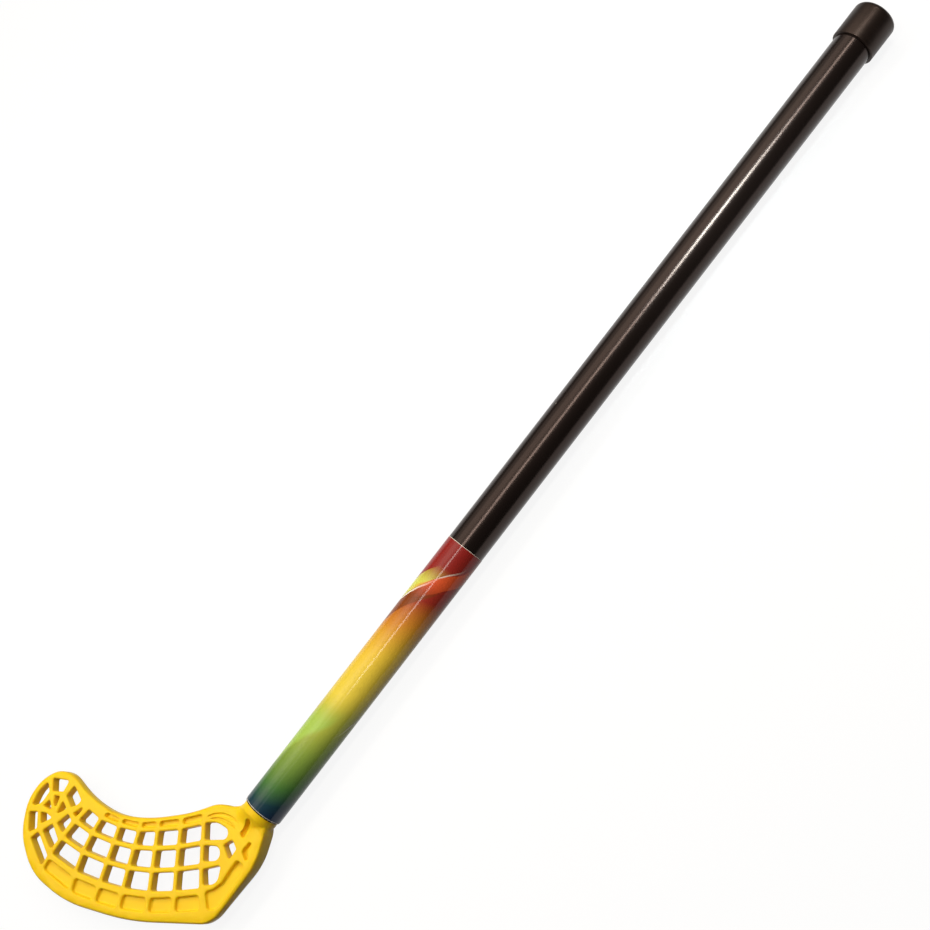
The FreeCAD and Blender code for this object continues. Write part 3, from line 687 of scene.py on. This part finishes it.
profile = [(cap_high.x - CAP_END_WALL, 0), (cap_high.x - CAP_END_WALL, cap_inside), (cap_low.x, cap_inside)]
profile += quarter(cap_low.x + CAP_RIM, cap_radius - CAP_RIM, CAP_RIM,
                   first_degrees=180, steps=RIM_STEPS)
profile += quarter(cap_high.x - CAP_ROUND, cap_radius - CAP_ROUND, CAP_ROUND,
                   first_degrees=90, steps=ROUND_STEPS)
profile.append((cap_high.x, 0))
bm = turned(profile, SHAFT_SIDES, shaft_line, X, Z)
end_cap = finish_mesh("push_on_cap", bm, cap_plastic, SHARP_DEGREES)
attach(end_cap, "root")
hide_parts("end_cap")

# Studio
# A plain white floor that the stick lies on, soft boxes overhead and on the toe's side, and the camera.
# The floor looks white to the camera and in reflections, but throws little light back on the stick.
FLOOR_HALF = 4.0
FLOOR_WHITE = 0.9

bm = bmesh.new()
bmesh.ops.create_grid(bm, x_segments=1, y_segments=1, size=FLOOR_HALF)
floor_paint, tree, out = new_material("matt_white_floor_paint")
rays = add(tree, "LightPath").outputs
seen = rays["Is Camera Ray"]
for kind in ("Is Glossy Ray", "Is Transmission Ray"):
    seen = add(tree, "Math", {0: seen, 1: rays[kind]}, operation="MAXIMUM").outputs[0]
seen = add(tree, "Math", {0: seen, 1: FLOOR_WHITE}, operation="MULTIPLY").outputs[0]
paint = add(tree, "Mix", {0: rays["Is Diffuse Ray"], 6: linear("#FFFFFF"), 7: linear("#646260")},
            data_type="RGBA")
lit = add(tree, "BsdfDiffuse", {"Color": paint.outputs[2]})
white = add(tree, "Emission", {"Color": linear("#FFFFFF"), "Strength": 1.0})
both = add(tree, "MixShader", {0: seen, 1: lit.outputs[0], 2: white.outputs[0]})
tree.links.new(both.outputs[0], out.inputs["Surface"])
floor = finish_mesh("floor", bm, floor_paint, SHARP_DEGREES)

# name, place, point that it faces, length along the shaft, width, brightness, spread in degrees, colour.
# The strips hang over the shaft, past the blade and, with a narrow beam, over the grip. The side boxes lie
# one inside the other, so that their light fades towards the edges.
SOFT_BOXES = [
    ("strip_overhead", (0.45, -0.07, 1.0), (0.45, -0.075, 0.0), 1.60, 0.13, 9.4, 180, "#FFFBF4"),
    ("strip_blade", (-0.52, -0.07, 1.0), (-0.52, -0.075, 0.0), 0.34, 0.13, 1.0, 180, "#FFFBF4"),
    ("strip_grip", (0.62, -0.07, 1.0), (0.266, -0.075, 0.018), 0.18, 0.13, 1.0, 18, "#E2FBFF"),
    ("side_far", (0.0, 0.66, 0.92), (0.0, -0.075, 0.0), 2.4, 1.30, 0.5, 180, "#FFF6EA"),
    ("side_outer", (0.0, 0.54, 1.0), (0.0, -0.075, 0.0), 2.4, 0.60, 0.8, 180, "#FFF6EA"),
    ("side_inner", (0.0, 0.54, 1.0), (0.0, -0.075, 0.0), 2.4, 0.14, 6.5, 180, "#FFF6EA"),
]
WATTS_PER_SQUARE_METRE = 4
for name, spot, aim, length, width, brightness, spread, tint in SOFT_BOXES:
    lamp = bpy.data.lights.new(name, "AREA")
    lamp.shape = "RECTANGLE"
    lamp.size = length
    lamp.size_y = width
    lamp.energy = brightness * WATTS_PER_SQUARE_METRE * length * width
    lamp.spread = math.radians(spread)
    lamp.color = linear(tint)[:3]
    soft_box = bpy.data.objects.new(name, lamp)
    back = (Vector(spot) - Vector(aim)).normalized()
    lengthwise = (X - back * back.x).normalized()
    turned_to = Matrix((lengthwise, back.cross(lengthwise), back)).transposed()
    soft_box.matrix_world = Matrix.Translation(spot) @ turned_to.to_4x4()
    soft_box.visible_camera = False
    bpy.context.scene.collection.objects.link(soft_box)

AIR_LIGHT = 0.05
world = bpy.data.worlds.new("studio_air")
world.use_nodes = True
world.node_tree.nodes["Background"].inputs["Color"].default_value = linear("#FFFFFF")
world.node_tree.nodes["Background"].inputs["Strength"].default_value = AIR_LIGHT
bpy.context.scene.world = world

lens = bpy.data.cameras.new("photo_view")
lens.sensor_width = 36
lens.lens = 44.466
camera = bpy.data.objects.new("photo_view", lens)
camera.location = (-0.0562343, -0.446159, 0.8345)
camera.rotation_euler = [math.radians(a) for a in (19.55716, 19.27933, -49.57541)]
bpy.context.scene.collection.objects.link(camera)
bpy.context.scene.camera = camera
bpy.context.scene.view_settings.view_transform = "Standard"
